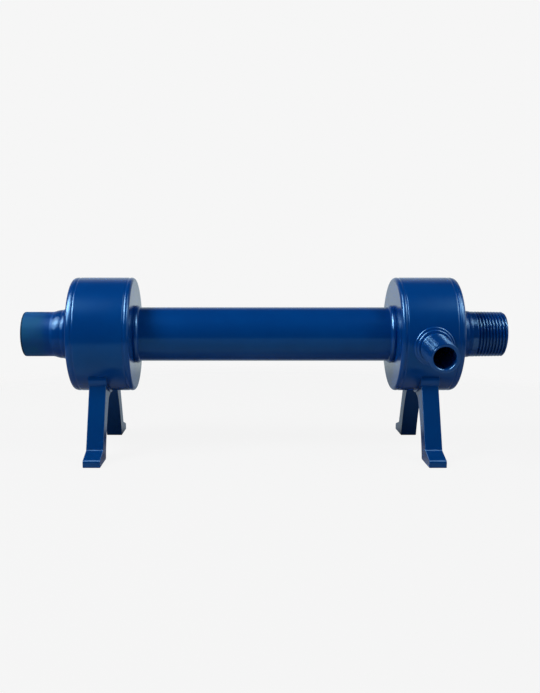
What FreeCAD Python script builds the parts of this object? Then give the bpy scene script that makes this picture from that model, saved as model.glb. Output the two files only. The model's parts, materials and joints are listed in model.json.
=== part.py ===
import FreeCAD, Part
import os
from math import cos, degrees, radians, sin, sqrt, tan

# In-line centrifugal separator filter, welded from steel and enamelled.
# Water enters at the inlet nipple (-X), swirls through the slots of the barrel,
# drops its grit in the outlet drum and leaves through the outlet nipple (+X).
# The purge nipple (-Y) empties the outlet drum. Millimetres, +Z up.
# The origin is on the floor, at the middle of the object's box.

# Whole body
overall_length = 352.0
axis_height = 85.2

# The two drums
drum_diameter = 83.0
drum_span = 278.0
drum_width = 44.5
drum_wall = 4.0
outer_end_plate = 4.8
inner_end_plate = 3.8
inner_rim_round = 2.3
outer_rim_crown = 6.5
outer_rim_turn = 22.0
seam_width = 2.0
seam_depth = 2.0
seam_sink = 0.25

# Barrel between the drums
barrel_diameter = 39.5
barrel_wall = 3.0
barrel_bead_width = 3.8
barrel_bead_height = 1.5
barrel_bead_foot = 1.0
barrel_inlet_gap = 8.0
barrel_outlet_stub = 6.0
slot_count = 4
slot_length = 18.0
slot_width = 3.6
slot_from_plate = 4.0

# Closing cap of the barrel's inlet end
cap_thickness = 3.0
cap_nose = 3.6
cap_spigot = 3.0
cap_clearance = 0.05

# Inlet and outlet nipples: pipe at the drum, turned down or threaded beyond it
pipe_diameter = 33.7
inlet_end_diameter = 32.75
outlet_thread_diameter = 33.249
nipple_bore = 26.6
inlet_shank = 14.0
inlet_shank_taper = 2.0
outlet_shank = 13.2
outlet_shank_taper = 0.7
inlet_end_round = 0.8
outlet_end_chamfer = 1.6
bore_chamfer = 0.5

# Welds of the nipples: a root pass in the corner, a fill pass and a low cap pass
weld_root_height = 2.6
weld_root_length = 3.5
weld_root_hollow = 0.15
inlet_root_valley = 1.6
inlet_fill_length = 4.9
inlet_fill_height = 1.85
inlet_fill_valley = 1.05
inlet_cap_height = 0.78
outlet_root_valley = 0.75
outlet_fill_length = 5.1
outlet_fill_height = 0.8
outlet_fill_valley = 0.15
outlet_cap_length = 3.0
outlet_cap_height = 0.18

# Vortex tube that leads the clean water out of the barrel
vortex_diameter = 22.0
vortex_bore = 18.0
vortex_seat = 8.0
vortex_seat_diameter = 28.4
vortex_flange = 3.0
vortex_flange_diameter = 36.0
vortex_reach_into_barrel = 26.0
deflector_diameter = 60.0
deflector_thickness = 2.5
deflector_from_barrel = 4.0

# Purge nipple on the outlet drum
purge_pipe_diameter = 21.3
purge_shank = 3.7
purge_shank_taper = 0.3
purge_thread_diameter = 20.955
purge_bore = 15.4
purge_tip_radius = 71.9
purge_droop = 7.0
purge_end_chamfer = 1.1
purge_inner_chamfer = 0.5
purge_weld_low_radius = 14.2
purge_weld_low_height = 1.5
purge_weld_high_radius = 12.5
purge_weld_high_height = 3.0
purge_weld_round = 1.1

# Legs, cut from plate
leg_width = 12.0
inlet_leg_offset = 1.6
outlet_leg_offset = 0.2
leg_root_angle = 44.5
leg_lean = 22.3
bend_height = 9.0
toe_length = 13.4
bend_round = 1.2
toe_slope = 17.0
toe_round = 2.0
sole_length = 24.0
heel_round = 1.5
sole_edge_round = 0.6
knee_angle = 23.7
knee_drop = 7.1
knee_round = 2.5
inner_hollow = 2.3
seat_end_angle = 14.8
seat_end_drop = 1.55
leg_edge_round = 0.45
leg_into_drum = 6.0

# Welds of the legs
leg_bead_up_drum = 3.6
leg_bead_down_leg = 4.6
leg_bead_bulge = 0.9
leg_bead_round = 0.5
leg_bead_side = 0.6
leg_bead_side_height = 2.2
leg_bead_inner_length = 5.0

# Worked out from the sizes above
end_x = overall_length / 2
drum_radius = drum_diameter / 2
drum_inside = drum_radius - drum_wall
outer_face = drum_span / 2
inner_face = outer_face - drum_width
outer_plate_inside = outer_face - outer_end_plate
inner_plate_inside = inner_face + inner_end_plate
drum_middle = (outer_face + inner_face) / 2
barrel_radius = barrel_diameter / 2
barrel_inside = barrel_radius - barrel_wall
barrel_inlet_end = outer_plate_inside - barrel_inlet_gap
barrel_outlet_end = inner_plate_inside + barrel_outlet_stub
bore_radius = nipple_bore / 2
pipe_radius = pipe_diameter / 2
inlet_shank_end = outer_face + inlet_shank
outlet_shank_end = outer_face + outlet_shank
inlet_cap_length = inlet_shank - weld_root_length - inlet_fill_length
leg_span = drum_radius * sin(radians(leg_root_angle))
leg_root_z = -drum_radius * cos(radians(leg_root_angle))
bend_z = bend_height - axis_height
bend_reach = leg_span + (leg_root_z - bend_z) * tan(radians(leg_lean))
foot_reach = bend_reach + toe_length
purge_rim = purge_thread_diameter / 2 - purge_end_chamfer
purge_reach = purge_tip_radius * cos(radians(purge_droop)) + purge_rim * sin(radians(purge_droop))
axis_y = (purge_reach - foot_reach) / 2

V = FreeCAD.Vector
centre = V(0, 0, 0)
along_x = V(1, 0, 0)
along_y = V(0, 1, 0)
along_z = V(0, 0, 1)


def outline(start, *steps):
    # a closed face in the X-Z plane: a step of one point is a line, of two points an arc
    edges = []
    here = start
    for step in steps + (start,):
        if isinstance(step[0], tuple):
            through, to = step
            edges.append(Part.Arc(at(here), at(through), at(to)).toShape())
        elif step != here:
            to = step
            edges.append(Part.LineSegment(at(here), at(to)).toShape())
        here = to
    return Part.Face(Part.Wire(edges))


def at(point):
    return V(point[0], 0, point[1])


def turned(face):
    return face.revolve(centre, along_x, 360)


def bar(radius, start, end):
    # a plain round bar on the drum axis
    return Part.makeCylinder(radius, end - start, V(start, 0, 0), along_x)


def on_side(side, shape):
    # the outlet side (+1) as drawn, or its mirror image for the inlet side (-1)
    if side > 0:
        return shape
    return shape.mirror(centre, along_x)


def drum_shell():
    # short tube, its outer edges bevelled on both ends for the seam welds
    half = seam_width / 2
    root = drum_radius - seam_depth
    return turned(outline((inner_plate_inside, drum_inside),
                          (inner_plate_inside, root),
                          (inner_plate_inside + half, drum_radius),
                          (outer_plate_inside - half, drum_radius),
                          (outer_plate_inside, root),
                          (outer_plate_inside, drum_inside)))


def inner_plate():
    # end plate with a rounded rim and the other bevel of the seam weld
    shoulder = inner_face + inner_rim_round
    turn = inner_rim_round * (1 - sqrt(0.5))
    return turned(outline((inner_face, barrel_radius),
                          (inner_face, drum_radius - inner_rim_round),
                          ((inner_face + turn, drum_radius - turn), (shoulder, drum_radius)),
                          (inner_plate_inside - seam_width / 2, drum_radius),
                          (inner_plate_inside, drum_radius - seam_depth),
                          (inner_plate_inside, barrel_radius)))


def outer_plate():
    # its rim is crowned from the seam on and meets the face in a smaller round
    shoulder = outer_plate_inside + seam_width / 2
    width = outer_face - shoulder
    turn = radians(outer_rim_turn)
    corner = (width - outer_rim_crown * sin(turn)) / (1 - sin(turn))
    corner_x = outer_face - corner
    corner_r = drum_radius - outer_rim_crown + (outer_rim_crown - corner) * cos(turn)
    middle = radians(45 + outer_rim_turn / 2)
    return turned(outline((outer_face, pipe_radius),
                          (outer_face, corner_r),
                          ((corner_x + corner * sin(middle), corner_r + corner * cos(middle)),
                           (corner_x + corner * sin(turn), corner_r + corner * cos(turn))),
                          ((shoulder + outer_rim_crown * sin(turn / 2),
                            drum_radius - outer_rim_crown * (1 - cos(turn / 2))),
                           (shoulder, drum_radius)),
                          (outer_plate_inside, drum_radius - seam_depth),
                          (outer_plate_inside, pipe_radius)))


def seam_weld(middle_x):
    # weld in the bevel, ground back to a shallow groove
    half = seam_width / 2
    return turned(outline((middle_x - half, drum_radius),
                          ((middle_x, drum_radius - seam_sink), (middle_x + half, drum_radius)),
                          (middle_x, drum_radius - seam_depth)))


def weld_ring(face_x, direction, radius, root_height, passes):
    # a turned weld on a pipe, from the plate outwards; each pass has its length, its height
    # above the pipe halfway along, and its height where the next one starts
    x = face_x
    arcs = []
    for length, middle_height, end_height in passes:
        middle = (x + direction * length / 2, radius + middle_height)
        x += direction * length
        arcs.append((middle, (x, radius + end_height)))
    return turned(outline((face_x, radius), (face_x, radius + root_height), *arcs))


def purge_placed(shape):
    # from the +X axis to the purge direction: forwards (-Y) and a little down
    shape.rotate(centre, along_z, -90)
    shape.rotate(centre, along_x, purge_droop)
    shape.translate(V(drum_middle, 0, 0))
    return shape


def outlet_drum_shell():
    hole = purge_placed(bar(purge_pipe_diameter / 2, 0, drum_diameter))
    return drum_shell().cut(hole)


def barrel_tube():
    tube = turned(outline((-barrel_inlet_end, barrel_inside),
                          (-barrel_inlet_end, barrel_radius),
                          (barrel_outlet_end, barrel_radius),
                          (barrel_outlet_end, barrel_inside)))
    # slots that meet the bore at a tangent, so that the water enters turning
    slot_start = -inner_plate_inside - slot_from_plate - slot_length
    for turn in range(slot_count):
        slot = Part.makeBox(slot_length, barrel_diameter, slot_width,
                            V(slot_start, 0, barrel_inside - slot_width))
        slot.rotate(centre, along_x, turn * 360 / slot_count)
        tube = tube.cut(slot)
    return tube


def barrel_cap():
    # turned plug: spigot in the bore, disc on the end, low cone towards the inlet
    disc_x = -barrel_inlet_end - cap_thickness
    spigot_radius = barrel_inside - cap_clearance
    return turned(outline((-barrel_inlet_end + cap_spigot, 0),
                          (-barrel_inlet_end + cap_spigot, spigot_radius),
                          (-barrel_inlet_end, spigot_radius),
                          (-barrel_inlet_end, barrel_radius),
                          (disc_x, barrel_radius),
                          (disc_x, bore_radius),
                          (disc_x - cap_nose, 0)))


def barrel_weld():
    # one rounded bead in the corner between the barrel and the inner plate
    return weld_ring(inner_face, -1, barrel_radius, barrel_bead_foot,
                     ((barrel_bead_width, barrel_bead_height, 0),))


def inlet_nipple():
    # plain pipe, its end turned smooth for a sleeve
    radius = inlet_end_diameter / 2
    turn = inlet_end_round * (1 - sqrt(0.5))
    pipe = turned(outline((outer_plate_inside, bore_radius),
                          (outer_plate_inside, pipe_radius),
                          (inlet_shank_end, pipe_radius),
                          (inlet_shank_end + inlet_shank_taper, radius),
                          (end_x - inlet_end_round, radius),
                          ((end_x - turn, radius - turn), (end_x, radius - inlet_end_round)),
                          (end_x, bore_radius + bore_chamfer),
                          (end_x - bore_chamfer, bore_radius)))
    return on_side(-1, pipe)


def outlet_nipple():
    # the thread is plain at its outer diameter, with the lead-in chamfer of its end;
    # a counterbore at the inner end seats the vortex tube
    radius = outlet_thread_diameter / 2
    seat_radius = vortex_seat_diameter / 2
    seat_end = outer_plate_inside + vortex_seat
    return turned(outline((outer_plate_inside, seat_radius),
                          (outer_plate_inside, pipe_radius),
                          (outlet_shank_end, pipe_radius),
                          (outlet_shank_end + outlet_shank_taper, radius),
                          (end_x - outlet_end_chamfer, radius),
                          (end_x, radius - outlet_end_chamfer),
                          (end_x, bore_radius + bore_chamfer),
                          (end_x - bore_chamfer, bore_radius),
                          (seat_end, bore_radius),
                          (seat_end, seat_radius)))


def root_pass(valley):
    # slightly hollow fillet in the corner at the drum
    return (weld_root_length, (weld_root_height + valley) / 2 - weld_root_hollow, valley)


def inlet_nipple_weld():
    # the cap pass ends where the pipe is turned down
    passes = (root_pass(inlet_root_valley),
              (inlet_fill_length, inlet_fill_height, inlet_fill_valley),
              (inlet_cap_length, inlet_cap_height, 0))
    return on_side(-1, weld_ring(outer_face, 1, pipe_radius, weld_root_height, passes))


def outlet_nipple_weld():
    passes = (root_pass(outlet_root_valley),
              (outlet_fill_length, outlet_fill_height, outlet_fill_valley),
              (outlet_cap_length, outlet_cap_height, 0))
    return weld_ring(outer_face, 1, pipe_radius, weld_root_height, passes)


def vortex_tube():
    # flanged tube: its collar fits the nipple, its flange bears on the outer plate
    outer = vortex_diameter / 2
    seat_radius = vortex_seat_diameter / 2
    flange_x = outer_plate_inside - vortex_flange
    flange_radius = vortex_flange_diameter / 2
    inner_end = barrel_outlet_end - vortex_reach_into_barrel
    seat_end = outer_plate_inside + vortex_seat
    return turned(outline((inner_end, vortex_bore / 2),
                          (inner_end, outer),
                          (flange_x, outer),
                          (flange_x, flange_radius),
                          (outer_plate_inside, flange_radius),
                          (outer_plate_inside, seat_radius),
                          (seat_end, seat_radius),
                          (seat_end, vortex_bore / 2)))


def deflector_plate():
    start = barrel_outlet_end + deflector_from_barrel
    return turned(outline((start, vortex_diameter / 2),
                          (start, deflector_diameter / 2),
                          (start + deflector_thickness, deflector_diameter / 2),
                          (start + deflector_thickness, vortex_diameter / 2)))


def purge_nipple():
    radius = purge_thread_diameter / 2
    inside = purge_bore / 2
    shank = drum_radius + purge_shank
    pipe = turned(outline((0, inside),
                          (0, purge_pipe_diameter / 2),
                          (shank, purge_pipe_diameter / 2),
                          (shank + purge_shank_taper, radius),
                          (purge_tip_radius - purge_end_chamfer, radius),
                          (purge_tip_radius, radius - purge_end_chamfer),
                          (purge_tip_radius, inside + purge_inner_chamfer),
                          (purge_tip_radius - purge_inner_chamfer, inside)))
    chamber = bar(drum_inside, inner_plate_inside, outer_plate_inside)
    return purge_placed(pipe).cut(chamber)


def purge_weld():
    # two stacked passes that follow the drum's surface, with rounded edges
    steps = []
    for radius, height in ((purge_weld_low_radius, purge_weld_low_height),
                           (purge_weld_high_radius, purge_weld_high_height)):
        column = purge_placed(bar(radius, 0, purge_tip_radius))
        step = column.common(bar(drum_radius + height, inner_face, outer_face))
        rim = [edge for edge in step.Edges if edge.BoundBox.YMin < -drum_radius * 0.8]
        steps.append(step.makeFillet(purge_weld_round, rim))
    pipe = purge_placed(bar(purge_pipe_diameter / 2, 0, drum_diameter))
    drum = bar(drum_radius, inner_face, outer_face)
    return steps[0].fuse(steps[1]).cut(pipe).cut(drum).removeSplitter()


def around_drum(angle, drop=0.0):
    # a point near the drum, by its angle from straight down and its depth below the surface
    radius = drum_radius + drop
    return (radius * sin(radians(angle)), -radius * cos(radians(angle)))


def across(face, width):
    # a profile drawn in the X-Z plane, given its width evenly to both sides
    solid = face.extrude(along_y * width)
    solid.translate(along_y * (-width / 2))
    return solid


def corner_rounded(solid, corner, radius):
    edges = [edge for edge in solid.Edges if edge.CenterOfMass.distanceToPoint(at(corner)) < radius / 10]
    return solid.makeFillet(radius, edges)


def leg_profile_solid():
    # straight outer side, toe, flat sole, hollow inner side and the seat on the drum
    root = around_drum(leg_root_angle)
    top = (root[0] - leg_into_drum * tan(radians(leg_lean)), root[1] + leg_into_drum)
    bend = (bend_reach, bend_z)
    toe = (foot_reach, bend_z - toe_length * tan(radians(toe_slope)))
    sole_front = (foot_reach, -axis_height)
    heel = (foot_reach - sole_length, -axis_height)
    knee = around_drum(knee_angle, knee_drop)
    chord = (at(heel) - at(knee))
    hollow = at(knee) + chord / 2 + V(-chord.z, 0, chord.x).normalize() * inner_hollow
    seat_end = around_drum(seat_end_angle, seat_end_drop)
    seat_inside = around_drum(seat_end_angle, -leg_into_drum)
    solid = across(outline(top, bend, toe, sole_front, heel,
                           ((hollow.x, hollow.z), knee),
                           seat_end, seat_inside), leg_width)
    solid = corner_rounded(solid, bend, bend_round)
    solid = corner_rounded(solid, toe, toe_round)
    solid = corner_rounded(solid, heel, heel_round)
    solid = corner_rounded(solid, sole_front, sole_edge_round)
    solid = corner_rounded(solid, knee, knee_round)
    sides = [edge for edge in solid.Edges
             if abs(abs(edge.CenterOfMass.y) - leg_width / 2) < leg_edge_round / 10]
    return solid.makeFillet(leg_edge_round, sides)


def leg_placed(shape, side, facing):
    # side -1 is the inlet drum, facing -1 the front (-Y)
    offset = outlet_leg_offset if side > 0 else inlet_leg_offset
    shape.rotate(centre, along_z, 90 * facing)
    shape.translate(V(side * (drum_middle + offset), 0, 0))
    return shape


def drum_core():
    return Part.makeCylinder(drum_radius, drum_width, V(0, -drum_width / 2, 0), along_y)


def leg():
    return leg_profile_solid().cut(drum_core())


def leg_weld():
    # a bead round the leg's root: wide in front, thin at the sides, flat behind the knee
    width = leg_width + 2 * leg_bead_side
    root = around_drum(leg_root_angle)
    rise = degrees(leg_bead_up_drum / drum_radius)
    upper = around_drum(leg_root_angle + rise)
    lower = (root[0] + leg_bead_down_leg * sin(radians(leg_lean)),
             root[1] - leg_bead_down_leg * cos(radians(leg_lean)))
    chord = at(lower) - at(upper)
    bulge = at(upper) + chord / 2 + V(-chord.z, 0, chord.x).normalize() * leg_bead_bulge
    front = across(outline(upper, ((bulge.x, bulge.z), lower),
                           around_drum(leg_root_angle - rise)), width)
    crests = [edge for edge in front.Edges
              if abs(abs(edge.CenterOfMass.y) - width / 2) < leg_bead_round / 10 and len(edge.Vertexes) == 2
              and edge.CenterOfMass.distanceToPoint(V(bulge.x, edge.CenterOfMass.y, bulge.z))
              < leg_bead_bulge]
    front = front.makeFillet(leg_bead_round, crests)
    inner_angle = seat_end_angle - degrees(leg_bead_inner_length / drum_radius)
    seat_end = around_drum(seat_end_angle, seat_end_drop)
    behind = across(outline(around_drum(inner_angle), seat_end,
                            around_drum(seat_end_angle + rise, seat_end_drop),
                            around_drum(seat_end_angle + rise)), width)
    middle = (seat_end_angle + leg_root_angle) / 2
    strip = across(outline(around_drum(seat_end_angle),
                           around_drum(seat_end_angle, seat_end_drop),
                           (around_drum(middle, leg_bead_side_height),
                            around_drum(leg_root_angle, leg_bead_side_height)),
                           around_drum(leg_root_angle),
                           (around_drum(middle), around_drum(seat_end_angle))), width)
    bead = front.fuse(behind).fuse(strip)
    return bead.cut(drum_core()).cut(leg_profile_solid()).removeSplitter()


def build():
    pieces = {}
    for name, side in (("inlet", -1), ("outlet", 1)):
        shell = outlet_drum_shell() if side > 0 else on_side(side, drum_shell())
        pieces[name + "_drum_shell"] = shell
        pieces[name + "_drum_outer_plate"] = on_side(side, outer_plate())
        pieces[name + "_drum_inner_plate"] = on_side(side, inner_plate())
        pieces[name + "_drum_outer_seam"] = on_side(side, seam_weld(outer_plate_inside))
        pieces[name + "_drum_inner_seam"] = on_side(side, seam_weld(inner_plate_inside))
        pieces["barrel_" + name + "_weld"] = on_side(side, barrel_weld())
        for place, facing in (("front", -1), ("rear", 1)):
            pieces[name + "_" + place + "_leg"] = leg_placed(leg(), side, facing)
            pieces[name + "_" + place + "_leg_weld"] = leg_placed(leg_weld(), side, facing)
    pieces["inlet_nipple"] = inlet_nipple()
    pieces["inlet_nipple_weld"] = inlet_nipple_weld()
    pieces["outlet_nipple"] = outlet_nipple()
    pieces["outlet_nipple_weld"] = outlet_nipple_weld()
    pieces["barrel_tube"] = barrel_tube()
    pieces["barrel_cap"] = barrel_cap()
    pieces["vortex_tube"] = vortex_tube()
    pieces["deflector_plate"] = deflector_plate()
    pieces["purge_nipple"] = purge_nipple()
    pieces["purge_nipple_weld"] = purge_weld()
    for shape in pieces.values():
        shape.translate(V(0, axis_y, axis_height))
    return pieces


os.makedirs("parts", exist_ok=True)
for name, shape in build().items():
    shape.exportStep("parts/" + name + ".step")
    print(name, len(shape.Solids), shape.isValid(), round(shape.Volume, 1))
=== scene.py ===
import json
from math import cos, pi, radians, sin, sqrt

import bpy
import numpy as np
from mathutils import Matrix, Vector


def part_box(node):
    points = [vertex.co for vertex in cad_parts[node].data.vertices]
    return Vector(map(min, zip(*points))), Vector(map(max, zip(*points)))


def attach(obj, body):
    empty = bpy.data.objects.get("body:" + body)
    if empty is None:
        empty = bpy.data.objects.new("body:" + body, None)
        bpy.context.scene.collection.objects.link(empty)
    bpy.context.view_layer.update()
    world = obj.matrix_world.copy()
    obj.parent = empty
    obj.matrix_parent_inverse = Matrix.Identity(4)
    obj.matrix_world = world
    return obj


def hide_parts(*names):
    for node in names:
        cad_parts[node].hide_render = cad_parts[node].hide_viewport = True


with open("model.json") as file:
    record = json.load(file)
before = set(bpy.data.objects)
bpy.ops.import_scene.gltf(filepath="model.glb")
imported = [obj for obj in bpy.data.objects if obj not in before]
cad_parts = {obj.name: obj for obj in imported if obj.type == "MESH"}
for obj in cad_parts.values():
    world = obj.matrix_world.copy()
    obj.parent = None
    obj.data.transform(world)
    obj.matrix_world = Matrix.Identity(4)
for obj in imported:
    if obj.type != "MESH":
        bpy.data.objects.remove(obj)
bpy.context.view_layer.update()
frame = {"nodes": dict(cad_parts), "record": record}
print("frame loaded:", len(frame["nodes"]), "nodes")

mm = 0.001

# places that the frame gives

deflectorLow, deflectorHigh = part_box("deflector_plate")
barrelMiddle = (deflectorLow + deflectorHigh) / 2  # the deflector plate lies on the barrel's axis
axisY = barrelMiddle.y
axisZ = barrelMiddle.z
plateLow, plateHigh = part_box("outlet_drum_outer_plate")
purgeX = (plateHigh.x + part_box("outlet_drum_inner_plate")[0].x) / 2  # the middle of the outlet drum

# helpers for objects and shaders


def addObject(name, data):
    holder = bpy.data.objects.new(name, data)
    bpy.context.collection.objects.link(holder)
    return holder


class Wire:
    # a shader socket that can be used in sums
    def __init__(self, graph, socket):
        self.graph = graph
        self.socket = socket

    def maths(self, operation, first, second):
        return self.graph.add("ShaderNodeMath", {"operation": operation}, {0: first, 1: second})

    def __add__(self, other):
        return self.maths("ADD", self, other)

    __radd__ = __add__

    def __sub__(self, other):
        return self.maths("SUBTRACT", self, other)

    def __rsub__(self, other):
        return self.maths("SUBTRACT", other, self)

    def __mul__(self, other):
        return self.maths("MULTIPLY", self, other)

    __rmul__ = __mul__

    def __truediv__(self, other):
        return self.maths("DIVIDE", self, other)

    def __rtruediv__(self, other):
        return self.maths("DIVIDE", other, self)

    def atLeast(self, other):
        return self.maths("MAXIMUM", self, other)

    def atMost(self, other):
        return self.maths("MINIMUM", self, other)

    def size(self):
        return self.maths("ABSOLUTE", self, 0.0)


class Graph:
    # the node tree of a material or of the world
    def __init__(self, owner):
        owner.use_nodes = True
        self.tree = owner.node_tree
        self.tree.nodes.clear()

    def add(self, kind, settings=None, sockets=None, out=0):
        node = self.tree.nodes.new(kind)
        for name, value in (settings or {}).items():
            setattr(node, name, value)
        for name, value in (sockets or {}).items():
            if isinstance(value, Wire):
                self.tree.links.new(value.socket, node.inputs[name])
            else:
                node.inputs[name].default_value = value
        return Wire(self, node.outputs[out]) if node.outputs else node

    def output(self, kind, shader):
        self.add(kind, None, {"Surface": shader})

    def mixColour(self, factor, first, second):
        # in its colour mode, a Mix node has its colours at 6 and 7 and its result at 2
        return self.add("ShaderNodeMix", {"data_type": "RGBA"}, {0: factor, 6: first, 7: second}, 2)

    def mixShader(self, factor, first, second):
        return self.add("ShaderNodeMixShader", None, {0: factor, 1: first, 2: second})

    def glow(self, kind, colour, strength):
        # a background or an emission
        return self.add(kind, None, {"Color": colour, "Strength": strength})

    def rise(self, value, limits, start=0.0, end=1.0):
        # smooth change from start to end while the value goes between the limits
        sockets = {0: value, 1: limits[0], 2: limits[1], 3: start, 4: end}
        return self.add("ShaderNodeMapRange", {"interpolation_type": "SMOOTHSTEP"}, sockets)

    def fall(self, value, limits):
        return self.rise(value, limits, 1.0, 0.0)

    def noise(self, scale, detail):
        sockets = {"Vector": self.place(), "Scale": scale, "Detail": detail}
        return self.add("ShaderNodeTexNoise", None, sockets)

    def place(self):
        # position on the object, in metres
        return self.add("ShaderNodeTexCoord", None, None, "Object")

    def facing(self):
        # the way a surface faces, without its smoothing
        return self.add("ShaderNodeNewGeometry", None, None, "True Normal")

    def axis(self, vector, number):
        # a vector's share to the right (0), to the back (1) or upwards (2)
        return self.add("ShaderNodeSeparateXYZ", None, {0: vector}, number)

    def dot(self, first, second):
        settings = {"operation": "DOT_PRODUCT"}
        return self.add("ShaderNodeVectorMath", settings, {0: first, 1: second}, "Value")

    def ray(self, kind):
        return self.add("ShaderNodeLightPath", None, None, kind)


def fromSrgb(red, green, blue):
    # a colour from 0 to 255 as seen on the screen, made linear
    parts = [value / 255 for value in (red, green, blue)]
    linear = [p / 12.92 if p <= 0.04045 else ((p + 0.055) / 1.055) ** 2.4 for p in parts]
    return (*linear, 1.0)


# finishes

enamel = {
    "colour": (0.0, 0.047, 0.228, 1.0),
    "deepColour": (0.0, 0.042, 0.21, 1.0),
    "roughness": 0.2,
    "roughnessSpread": 0.06,
    "specular": 0.5,
    "tint": (0.34, 0.68, 1.0, 1.0),
    "cloud": (38.0, 3.0),  # scale and detail, as for each noise
    "cloudRange": (0.35, 0.65),
    "fine": (900.0, 2.0),
    "peel": (420.0, 1.0),
    "peelHeight": 0.0016 * mm,
    "ripple": (260.0, 1.0),
    "rippleHeight": 0.0,
}

enamels = {
    "blueEnamel": enamel,
    "shellEnamel": {**enamel, "tint": (0.24, 0.7, 1.0, 1.0)},  # drums and barrel
    "threadEnamel": {**enamel, "roughness": 0.14, "specular": 1.0},
    "purgeEnamel": {**enamel, "specular": 0.8},
    "weldEnamel": {**enamel, "specular": 0.8, "rippleHeight": 0.08 * mm},
    "legWeldEnamel": {**enamel, "rippleHeight": 0.03 * mm},
    "nippleWeldEnamel": {**enamel, "specular": 0.27, "rippleHeight": 0.08 * mm},
    "plateEnamel": {  # legs, with their enamel painted darker than the rest as painted shade
        **enamel,
        "colour": (0.0, 0.039, 0.178, 1.0),
        "deepColour": (0.0, 0.035, 0.164, 1.0),
        # painted highlight: the lighter colour of the legs' roundings that turn upwards
        "edgeHighlightColour": (0.075, 0.19, 0.43, 1.0),
        "edgeFrom": (0.48, 0.54),  # how far upwards an edge faces
        "edgeTo": (0.9, 0.94),
        "patches": (160.0, 2.0),
        "patchRange": (0.3, 0.6),
        "leastPatch": 0.6,
    },
}

# the coat on the inlet pipe near its weld, and the thin satin one on its turned end
inletCoat = {**enamel, "roughness": 0.36, "specular": 0.2}

inletEnd = {
    **enamel,
    "colour": (0.008, 0.064, 0.215, 1.0),
    "greenColour": (0.008, 0.078, 0.2, 1.0),
    "roughness": 0.6,
    "specular": 0.14,
    "cloud": (90.0, 3.0),
    # painted reflection: the dark colour of the pipe's last millimetre or so, in place of a chamfer's
    # dark reflection
    "rimShadeColour": (0.002, 0.02, 0.05, 1.0),
    "rimRange": (-175.1 * mm, -174.4 * mm),
    "rimFacing": (0.7, 0.9),
    "coatRange": (-164.0 * mm, -156.0 * mm),
    "coatWander": 6.0 * mm,
}

steel = {
    "dark": fromSrgb(104, 106, 110),
    "light": fromSrgb(138, 140, 143),
    "grain": (600.0, 3.0),
    "roughness": 0.3,
    "roughnessSpread": 0.15,
}

slotFinishes = {"blue_enamel": "blueEnamel", "inlet_enamel": "inletEnamel", "bare_steel": "bareSteel"}


def enamelShader(graph, look, colour, roughness, height):
    bump = graph.add("ShaderNodeBump", None, {"Strength": 1.0, "Distance": 1.0, "Height": height})
    return graph.add("ShaderNodeBsdfPrincipled", None, {
        "Base Color": colour,
        "Roughness": roughness,
        "Specular IOR Level": look["specular"],
        "Specular Tint": look["tint"],
        "Normal": bump,
    })


def paintedEdgeHighlights(graph, look):
    # painted highlight: roundings that turn upwards are painted lighter, in patches, in place of the
    # overhead light that they catch
    up = graph.axis(graph.facing(), 2)
    patchy = graph.rise(graph.noise(*look["patches"]), look["patchRange"], look["leastPatch"])
    return graph.rise(up, look["edgeFrom"]) * graph.fall(up, look["edgeTo"]) * patchy


def makeEnamel(name, look):
    material = bpy.data.materials.new(name)
    graph = Graph(material)
    cloud = graph.noise(*look["cloud"])
    fine = graph.noise(*look["fine"])
    colour = graph.mixColour(graph.rise(cloud, look["cloudRange"]), look["colour"], look["deepColour"])
    if "edgeHighlightColour" in look:
        # on the legs, roundings that turn upwards get a painted highlight
        colour = graph.mixColour(paintedEdgeHighlights(graph, look), colour, look["edgeHighlightColour"])
    roughness = look["roughness"] + (fine + cloud - 1.0) * look["roughnessSpread"]
    height = graph.noise(*look["peel"]) * look["peelHeight"]
    if look["rippleHeight"]:
        height = height + graph.noise(*look["ripple"]) * look["rippleHeight"]
    graph.output("ShaderNodeOutputMaterial", enamelShader(graph, look, colour, roughness, height))
    return material


def makeInletEnamel(name, coat, end):
    # the turned end is satin; the coat starts near the weld, along a wandering line
    material = bpy.data.materials.new(name)
    graph = Graph(material)
    along = graph.axis(graph.place(), 0)
    cloud = graph.noise(*end["cloud"])
    coated = graph.rise(along + (cloud - 0.5) * end["coatWander"], end["coatRange"])
    satin = graph.mixColour(graph.rise(cloud, end["cloudRange"]), end["colour"], end["greenColour"])
    # painted reflection: surfaces in the last millimetre or so, except those facing straight out of the
    # end, are painted dark
    towardsEnd = graph.axis(graph.facing(), 0) * -1.0
    rim = graph.fall(along, end["rimRange"]) * graph.fall(towardsEnd, end["rimFacing"])
    satin = graph.mixColour(rim, satin, end["rimShadeColour"])
    height = graph.noise(*coat["peel"]) * coat["peelHeight"]
    thick = enamelShader(graph, coat, coat["colour"], coat["roughness"], height)
    thin = enamelShader(graph, end, satin, end["roughness"], height)
    graph.output("ShaderNodeOutputMaterial", graph.mixShader(coated, thin, thick))
    return material


def makeSteel(name, look):
    material = bpy.data.materials.new(name)
    graph = Graph(material)
    grain = graph.noise(*look["grain"])
    shader = graph.add("ShaderNodeBsdfPrincipled", None, {
        "Base Color": graph.mixColour(grain, look["dark"], look["light"]),
        "Metallic": 1.0,
        "Roughness": look["roughness"] + grain * look["roughnessSpread"],
    })
    graph.output("ShaderNodeOutputMaterial", shader)
    return material


def finishOf(part):
    # welds, legs, shells and the barrel have an enamel of their own, the rest that of its slot
    node = part["node"]
    if node in ("inlet_nipple_weld", "outlet_nipple_weld"):
        return "nippleWeldEnamel"
    if node.endswith("_weld"):
        return "legWeldEnamel" if "_leg" in node else "weldEnamel"
    if "_leg" in node:
        return "plateEnamel"
    if node.endswith("_shell") or node == "barrel_tube":
        return "shellEnamel"
    return slotFinishes[part["material_slot"]]


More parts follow.
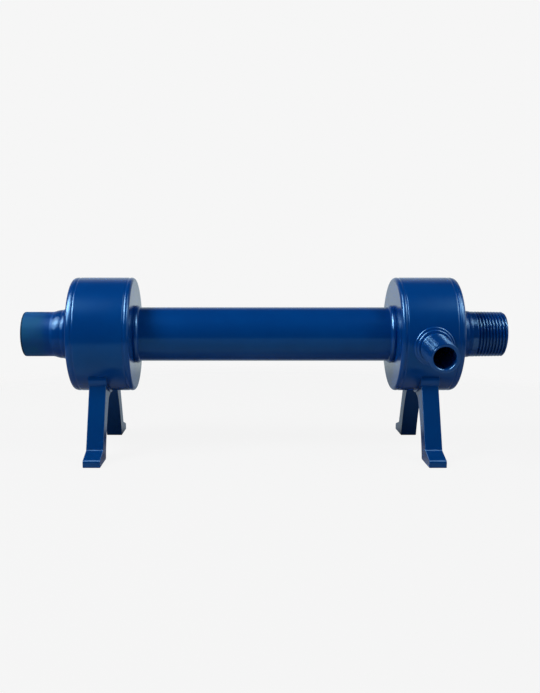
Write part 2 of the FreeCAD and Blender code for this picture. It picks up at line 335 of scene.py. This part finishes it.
finishes = {name: makeEnamel(name, look) for name, look in enamels.items()}
finishes["inletEnamel"] = makeInletEnamel("inletEnamel", inletCoat, inletEnd)
finishes["bareSteel"] = makeSteel("bareSteel", steel)
for part in frame["record"]["subparts"]:
    materials = frame["nodes"][part["node"]].data.materials
    materials.clear()
    materials.append(finishes[finishOf(part)])
print("finishes made")

# threaded nipples

outletThread = {
    "pitch": 2.309 * mm,
    "depth": 1.6 * mm,
    "crestFlat": 0.28,  # beside a flank of 1, as the root's
    "rootFlat": 0.12,
    "firstCrest": 155.67 * mm,  # places lie along the pipe, here from the origin
    "startAngle": -pi / 2,
    "runOut": (153.6 * mm, 155.6 * mm),
    "taperFrom": 155.0 * mm,
    "taper": 1 / 64,
    "pipeRadius": 16.85 * mm,
    "crestRadius": 16.62 * mm,
    "shankEnd": 152.2 * mm,
    "neck": 0.7 * mm,
    "tip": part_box("outlet_nipple")[1].x,
    "chamfer": 1.3 * mm,
    "bore": 13.3 * mm,
    "seatRadius": 14.2 * mm,
    "seatDepth": 8.0 * mm,
    "edge": 0.5 * mm,
    "pointsRound": 144,
    "stepsPerPitch": 20,
}

purgeThread = {
    "pitch": 1.814 * mm,
    "depth": 1.2 * mm,
    "crestFlat": 0.2,
    "rootFlat": 0.1,
    "firstCrest": 46.6 * mm,  # places lie along the pipe, here from the drum's axis
    "startAngle": 0.0,
    "runOut": (45.2 * mm, 47.2 * mm),
    "taperFrom": 47.0 * mm,
    "taper": 1 / 64,
    "pipeRadius": 10.65 * mm,
    "crestRadius": 10.46 * mm,
    "shankEnd": 45.2 * mm,
    "neck": 0.7 * mm,
    "tip": 71.9 * mm,
    "chamfer": 0.5 * mm,
    "bore": 7.7 * mm,
    "chamber": 37.5 * mm,
    "droop": 7.0,  # degrees
    "edge": 0.3 * mm,
    "pointsRound": 112,
    "stepsPerPitch": 16,
}

sharpFrom = 38.0  # faces that meet at more degrees than this make a sharp edge


def threadOutline(thread, angle):
    # places along the pipe and their radii at one angle round it; the helix is right-handed
    tip = thread["tip"]
    step = thread["pitch"] / thread["stepsPerPitch"]
    count = int((tip - thread["shankEnd"]) / step)
    places = np.append(thread["shankEnd"] + step * np.arange(count), tip)
    phase = (places - thread["firstCrest"]) / thread["pitch"] - (angle - thread["startAngle"]) / (2 * pi)
    start, full = thread["runOut"]
    depth = thread["depth"] * np.clip((places - start) / (full - start), 0.0, 1.0)
    crest = thread["crestRadius"] - thread["taper"] * np.maximum(places - thread["taperFrom"], 0.0)
    neck = np.clip((places - thread["shankEnd"]) / thread["neck"], 0.0, 1.0)
    crest = thread["pipeRadius"] + (crest - thread["pipeRadius"]) * neck
    fromCrest = np.abs(2 * (phase - np.floor(phase + 0.5)))
    flank = fromCrest * (1 + thread["crestFlat"] + thread["rootFlat"]) - thread["crestFlat"]
    radii = crest - depth * (0.5 - 0.5 * np.cos(pi * np.clip(flank, 0.0, 1.0)))
    lead = thread["crestRadius"] - np.maximum(places - (tip - thread["chamfer"]), 0.0)
    return places, np.minimum(radii, lead)


def threadRings(thread, place, innerEnd):
    # outer side from the inner end to the tip, then back through the bore
    tip = thread["tip"]
    bore = thread["bore"]
    edge = thread["edge"]
    rings = []
    for number in range(thread["pointsRound"]):
        angle = 2 * pi * number / thread["pointsRound"]
        places, radii = threadOutline(thread, angle)
        outline = [(innerEnd(thread["pipeRadius"], angle), thread["pipeRadius"])]
        outline += zip(places, radii)
        outline += [(tip, bore + edge), (tip - edge, bore)]
        if "seatRadius" in thread:
            seatEnd = innerEnd(bore, angle) + thread["seatDepth"]
            outline += [(seatEnd, bore), (seatEnd, thread["seatRadius"])]
            outline += [(innerEnd(bore, angle), thread["seatRadius"])]
        else:
            outline += [(innerEnd(bore, angle), bore)]
        rings.append([place(along, radius, angle) for along, radius in outline])
    return np.array(rings).transpose(1, 0, 2)


def ringShell(name, rings):
    # closes a row of rings of points into one shell
    rows, count = rings.shape[:2]
    faces = []
    for row in range(rows):
        after = (row + 1) % rows
        for i in range(count):
            beside = (i + 1) % count
            below, above = row * count, after * count
            faces.append((below + i, below + beside, above + beside, above + i))
    mesh = bpy.data.meshes.new(name)
    mesh.from_pydata([tuple(point) for point in rings.reshape(-1, 3)], [], faces)
    mesh.polygons.foreach_set("use_smooth", [True] * len(faces))
    mesh.set_sharp_from_angle(angle=radians(sharpFrom))
    return addObject(name, mesh)


def outletPlace(along, radius, angle):
    # the angle runs from the front to the bottom
    return (along, axisY - radius * cos(angle), axisZ - radius * sin(angle))


def outletInner(radius, angle):
    # the pipe ends flush with the plate's inner face
    return plateLow.x


def purgePlace(along, radius, angle):
    # the angle runs from the right to the top
    droop = radians(purgeThread["droop"])
    sideways = radius * cos(angle)
    upwards = radius * sin(angle)
    return (purgeX + sideways,
            axisY - along * cos(droop) - upwards * sin(droop),
            axisZ - along * sin(droop) + upwards * cos(droop))


def purgeInner(radius, angle):
    # the pipe is cut off at the drum's inside
    return sqrt(purgeThread["chamber"] ** 2 - (radius * sin(angle)) ** 2)


def makeNipple(name, finish, thread, place, innerEnd, node):
    piece = ringShell(name, threadRings(thread, place, innerEnd))
    piece.data.materials.append(finish)
    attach(piece, "root")
    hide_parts(node)


makeNipple("threadedOutlet", finishes["threadEnamel"],
           outletThread, outletPlace, outletInner, "outlet_nipple")
makeNipple("threadedPurge", finishes["purgeEnamel"],
           purgeThread, purgePlace, purgeInner, "purge_nipple")
print("threads cut")

# lamps

lamp = {
    "size": 0.36,
    "distance": 1.03,
    "angles": (63.0, 45.5),  # degrees to the side and upwards
}

softboxes = {
    "leftSoftbox": {"side": -1, "power": 7.3, "mirrored": 0.8},  # the share of its glow that gloss shows
    "rightSoftbox": {"side": 1, "power": 3.6, "mirrored": 0.5},
}


def aim(azimuth, elevation):
    # direction from the object, by degrees to the right of the front and upwards
    a = radians(azimuth)
    e = radians(elevation)
    return Vector((sin(a) * cos(e), -cos(a) * cos(e), sin(e)))


def addLamp(name, look, box):
    light = bpy.data.lights.new(name, "AREA")
    light.shape = "RECTANGLE"
    light.size = look["size"]
    light.size_y = look["size"]
    light.energy = box["power"]
    across, elevation = look["angles"]
    towards = aim(box["side"] * across, elevation)
    holder = addObject(name, light)
    holder.location = Vector((0, axisY, axisZ)) + towards * look["distance"]
    holder.rotation_mode = "QUATERNION"
    holder.rotation_quaternion = (-towards).to_track_quat("-Z", "Y")
    holder.visible_camera = False


# world: the room that the enamel mirrors, and the white that the camera sees

paper = fromSrgb(246, 246, 246)

# a pair gives where a glow rises or falls, as shares of a direction to the right, back or upwards
room = {
    "ambient": 0.14,
    "dark": 0.02,
    "colour": (0.86, 0.98, 1.0, 1.0),
    "backdropGlow": 0.82,
    "backdropFrom": (0.0, 0.3),
    "backdropTop": (0.54, 0.78),
    "backdropMiddle": (0.78, 0.99),
    "backdropSides": 0.46,
    "windowGlow": 1.2,
    "windowFrom": (0.6, 0.9),
    "windowFoot": (-0.1, 0.05),
    "windowTop": (0.3, 0.6),
    "boxAngles": (62.0, 48.0),
    "boxHalfWidth": 0.37,
    "boxHalfHeight": 0.43,
    "boxEdge": 0.08,
    "boxFront": (0.05, 0.1),
    "boxFrom": (0.22, 0.4),
}


def backdropGlow(graph, direction, look):
    # the wall behind the object, brightest in its middle
    toBack = graph.axis(direction, 1)
    middle = graph.rise(toBack, look["backdropMiddle"], look["backdropSides"])
    low = graph.fall(graph.axis(direction, 2), look["backdropTop"])
    return middle * graph.rise(toBack, look["backdropFrom"]) * low * look["backdropGlow"]


def windowGlow(graph, direction, look):
    # a window on the right
    up = graph.axis(direction, 2)
    beside = graph.rise(graph.axis(direction, 0), look["windowFrom"])
    high = graph.fall(up, look["windowTop"]) * graph.rise(up, look["windowFoot"])
    return beside * high * look["windowGlow"]


def softboxGlow(graph, direction, look, box):
    # a bright rectangle round a lamp, which only glossy surfaces reflect
    across, elevation = look["boxAngles"]
    towards = aim(box["side"] * across, elevation)
    right = aim(box["side"] * across + 90, 0)
    top = right.cross(-towards)
    depth = graph.dot(direction, towards)
    nearer = depth.atLeast(look["boxFront"][0])

    def within(axis, half):
        offset = (graph.dot(direction, axis) / nearer).size()
        return graph.fall(offset, (half - look["boxEdge"], half + look["boxEdge"]))

    inside = within(right, look["boxHalfWidth"]) * within(top, look["boxHalfHeight"])
    outwards = graph.axis(direction, 0) * box["side"]
    shown = inside * graph.rise(depth, look["boxFront"]) * graph.rise(outwards, look["boxFrom"])
    faceGlow = box["power"] / (pi * lamp["size"] ** 2)  # as bright as the lamp's own face
    return shown * (box["mirrored"] * faceGlow)


def makeWorld(look):
    world = bpy.data.worlds.new("studio")
    bpy.context.scene.world = world
    graph = Graph(world)
    direction = graph.add("ShaderNodeTexCoord", None, None, "Generated")
    left, right = [softboxGlow(graph, direction, look, box) for box in softboxes.values()]
    walls = backdropGlow(graph, direction, look) + windowGlow(graph, direction, look)
    soft = graph.glow("ShaderNodeBackground", (1, 1, 1, 1), look["ambient"])
    shiny = graph.glow("ShaderNodeBackground", look["colour"], walls + (left + right) + look["dark"])
    white = graph.glow("ShaderNodeBackground", paper, 1.0)
    shader = graph.mixShader(graph.ray("Is Glossy Ray"), soft, shiny)
    seen = (graph.ray("Is Camera Ray") + graph.ray("Is Transmission Ray")).atMost(1.0)
    graph.output("ShaderNodeOutputWorld", graph.mixShader(seen, shader, white))


# floor

floorLook = {
    "size": 2.4,
    "fade": (0.36, 0.468),  # metres from the origin
    "colour": (0.66, 0.66, 0.66, 1.0),
    # painted shadow: the floor's colour under and behind the object
    "shadedColour": (0.34, 0.34, 0.34, 1.0),
    "shadedFrom": (-0.045, -0.015),  # metres behind the origin, as for the pale part
    "paleGlow": 0.48,
    "paleColour": (0.72, 0.87, 1.0, 1.0),
    "paleFrom": (0.035, 0.09),
    "shadowColour": (0.85, 0.85, 0.85, 1.0),
    "shadowShare": 0.04,
}


def floorShader(graph, look):
    place = graph.place()
    toRear = graph.axis(place, 1)
    # the floor that lights the object from below, with a painted shadow that makes it darker under and
    # behind the object
    shaded = graph.rise(toRear, look["shadedFrom"])
    colour = graph.mixColour(shaded, look["colour"], look["shadedColour"])
    matt = graph.add("ShaderNodeBsdfDiffuse", None, {"Color": colour})
    # behind the object the enamel reflects a pale floor, as it does the backdrop
    behind = graph.ray("Is Glossy Ray") * graph.rise(toRear, look["paleFrom"])
    pale = graph.glow("ShaderNodeEmission", look["paleColour"], look["paleGlow"])
    # the camera sees it white, with a trace of shadow
    white = graph.glow("ShaderNodeEmission", paper, 1.0)
    shadowed = graph.add("ShaderNodeBsdfDiffuse", None, {"Color": look["shadowColour"]})
    shown = graph.mixShader(look["shadowShare"], white, shadowed)
    shader = graph.mixShader(graph.ray("Is Camera Ray"), graph.mixShader(behind, matt, pale), shown)
    # it fades out round the object, and from below it isn't seen
    distance = graph.add("ShaderNodeVectorMath", {"operation": "LENGTH"}, {0: place}, "Value")
    fromBelow = graph.add("ShaderNodeNewGeometry", None, None, "Backfacing")
    gone = graph.rise(distance, look["fade"]).atLeast(fromBelow)
    return graph.mixShader(gone, shader, graph.add("ShaderNodeBsdfTransparent"))


def makeFloor(look):
    half = look["size"] / 2
    corners = [(-half, -half, 0), (half, -half, 0), (half, half, 0), (-half, half, 0)]
    mesh = bpy.data.meshes.new("floor")
    mesh.from_pydata(corners, [], [(0, 1, 2, 3)])
    material = bpy.data.materials.new("floor")
    graph = Graph(material)
    graph.output("ShaderNodeOutputMaterial", floorShader(graph, look))
    mesh.materials.append(material)
    addObject("floor", mesh)


# camera, solved from the photograph's frame of 540 x 693

viewpoint = {
    "imageHigh": 693,
    "focal": 808.17,  # pixels, as the shift
    "shift": (26.55, 19.77),
    "sensor": 36.0,
    "clip": (0.05, 20.0),
    "fromAxis": (-15.11 * mm, -594.84 * mm, 60.33 * mm),  # from the barrel's axis
    "tilt": 8.076,  # degrees downwards
}


def addCamera(look):
    camera = bpy.data.cameras.new("camera")
    camera.sensor_width = look["sensor"]
    camera.lens = look["focal"] * look["sensor"] / look["imageHigh"]
    camera.shift_x, camera.shift_y = [pixels / look["imageHigh"] for pixels in look["shift"]]
    camera.clip_start, camera.clip_end = look["clip"]
    holder = addObject("camera", camera)
    across, behind, above = look["fromAxis"]
    holder.location = (across, axisY + behind, axisZ + above)
    holder.rotation_euler = (radians(90 - look["tilt"]), 0, 0)
    bpy.context.scene.camera = holder


makeWorld(room)
makeFloor(floorLook)
for name, box in softboxes.items():
    addLamp(name, lamp, box)
addCamera(viewpoint)
bpy.context.scene.view_settings.view_transform = "Standard"
print("studio ready")
